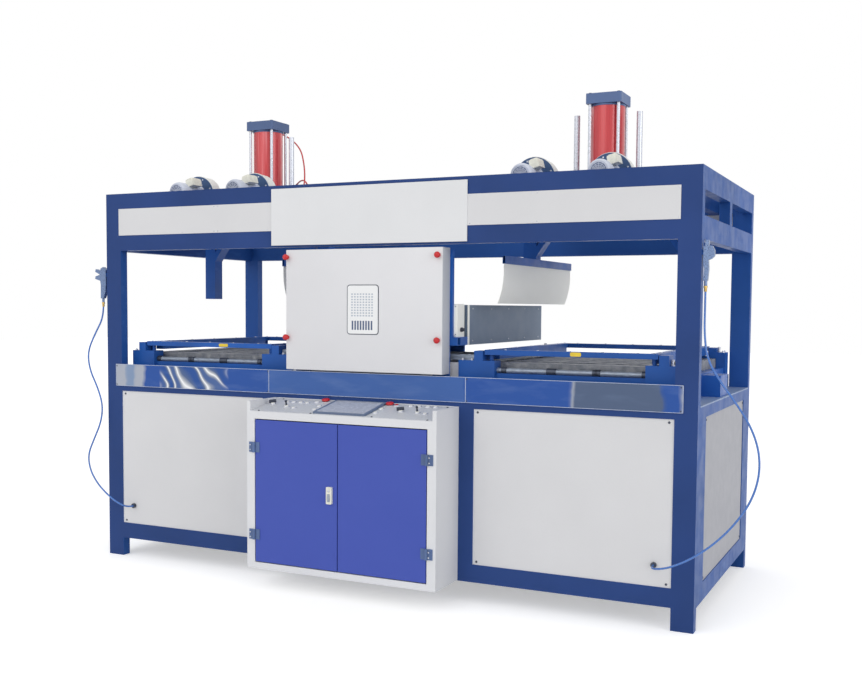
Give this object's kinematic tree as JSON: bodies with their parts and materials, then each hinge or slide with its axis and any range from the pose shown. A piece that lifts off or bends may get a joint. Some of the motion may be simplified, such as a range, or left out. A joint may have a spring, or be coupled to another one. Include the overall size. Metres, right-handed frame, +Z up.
{
  "type": "double-station vacuum forming machine",
  "caption": "Double-station vacuum forming machine: tube frame, sliding heater, clamp frames, press cylinders, blowers and a control console.",
  "frame": {"origin": "on the floor under the middle of the machine's outline, console included, hoses left out", "axes": "+X along the machine to the operator's right, +Y from the operator's side to the back, +Z up"},
  "size_m": [3.66, 1.6132, 2.452],
  "materials": {
    "frame_blue": "satin blue enamel",
    "inner_blue": "satin blue enamel",
    "panel_grey": "pale grey powder coat",
    "board_white": "smooth pale board",
    "deck_grey": "grey-blue enamel",
    "mirror_steel": "mirror polished",
    "worn_aluminium": "worn, matt",
    "bright_steel": "bright plated",
    "oven_grey": "grey enamel",
    "knob_red": "glossy red",
    "deflector_white": "off-white coat",
    "cap_slate": "slate blue enamel",
    "barrel_red": "red enamel",
    "motor_grey": "light grey enamel",
    "screen_dark": "dark glossy",
    "door_violet": "smooth blue-violet enamel",
    "lock_cream": "cream, matt",
    "hose_blue": "translucent blue polyurethane",
    "hose_red": "glossy red polyurethane"
  },
  "bodies": {
    "machine_frame": {"air_deflector_left": "deflector_white", "air_deflector_right": "deflector_white", "base_long_frames": "frame_blue", "base_long_panels": "panel_grey", "base_side_frames": "frame_blue", "base_side_panels": "panel_grey", "blow_gun_left": "bright_steel", "blow_gun_right": "bright_steel", "blower_discs": "cap_slate", "blower_housings": "board_white", "blower_motors": "motor_grey", "cabinet_hinges": "cap_slate", "carriage_rails": "bright_steel", "console_cabinet": "panel_grey", "console_top": "panel_grey", "corner_posts": "frame_blue", "cross_shafts": "bright_steel", "cylinder_barrels": "barrel_red", "cylinder_caps": "cap_slate", "cylinder_hose_lower": "hose_red", "cylinder_hose_upper": "hose_red", "cylinder_mounts": "frame_blue", "cylinder_tie_rods": "bright_steel", "emergency_stops": "knob_red", "front_strip": "mirror_steel", "grip_frame_left": "worn_aluminium", "grip_frame_right": "worn_aluminium", "gun_hooks": "frame_blue", "hanging_posts": "inner_blue", "hose_grommets": "cap_slate", "hose_left": "hose_blue", "hose_right": "hose_blue", "motor_terminal_boxes": "lock_cream", "name_board": "board_white", "push_buttons": "bright_steel", "table_deck": "deck_grey", "table_frame_left": "inner_blue", "table_frame_right": "inner_blue", "top_cross_beams": "frame_blue", "top_long_rails": "frame_blue", "top_side_frames": "frame_blue", "top_strip_panels": "panel_grey", "touch_screen": "screen_dark"},
    "heater_carriage_body": {"heater_carriage": "inner_blue", "carriage_legs": "inner_blue", "heater_terminal_box": "deflector_white", "heater_box": "oven_grey", "heater_cover": "panel_grey", "cover_knobs": "knob_red"},
    "console_door_left_body": {"console_door_left": "door_violet", "door_hinges_left": "cap_slate", "door_lock": "lock_cream"},
    "console_door_right_body": {"console_door_right": "door_violet", "door_hinges_right": "cap_slate"},
    "press_left_body": {"press_platen_left": "inner_blue", "press_rods_left": "bright_steel"},
    "press_right_body": {"press_platen_right": "inner_blue", "press_rods_right": "bright_steel"},
    "clamp_left_body": {"clamp_frame_left": "inner_blue"},
    "clamp_right_body": {"clamp_frame_right": "inner_blue"}
  },
  "joints": [
    {"name": "console_door_left_hinge", "type": "hinge", "parent": "machine_frame", "child": "console_door_left_body", "pos_m": [-0.47, -0.80525, 0.5], "axis": [0, 0, -1], "range_deg": [0, 110]},
    {"name": "console_door_right_hinge", "type": "hinge", "parent": "machine_frame", "child": "console_door_right_body", "pos_m": [0.47, -0.80525, 0.5], "axis": [0, 0, 1], "range_deg": [0, 110]},
    {"name": "heater_slide", "type": "slide", "parent": "machine_frame", "child": "heater_carriage_body", "axis": [1, 0, 0], "range_m": [-1, 1]},
    {"name": "press_left_slide", "type": "slide", "parent": "machine_frame", "child": "press_left_body", "axis": [0, 0, -1], "range_m": [0, 0.33]},
    {"name": "press_right_slide", "type": "slide", "parent": "machine_frame", "child": "press_right_body", "axis": [0, 0, 1], "range_m": [-0.33, 0]},
    {"name": "clamp_left_slide", "type": "slide", "parent": "machine_frame", "child": "clamp_left_body", "axis": [0, 0, 1], "range_m": [0, 0.1]},
    {"name": "clamp_right_slide", "type": "slide", "parent": "machine_frame", "child": "clamp_right_body", "axis": [0, 0, -1], "range_m": [-0.1, 0]}
  ]
}
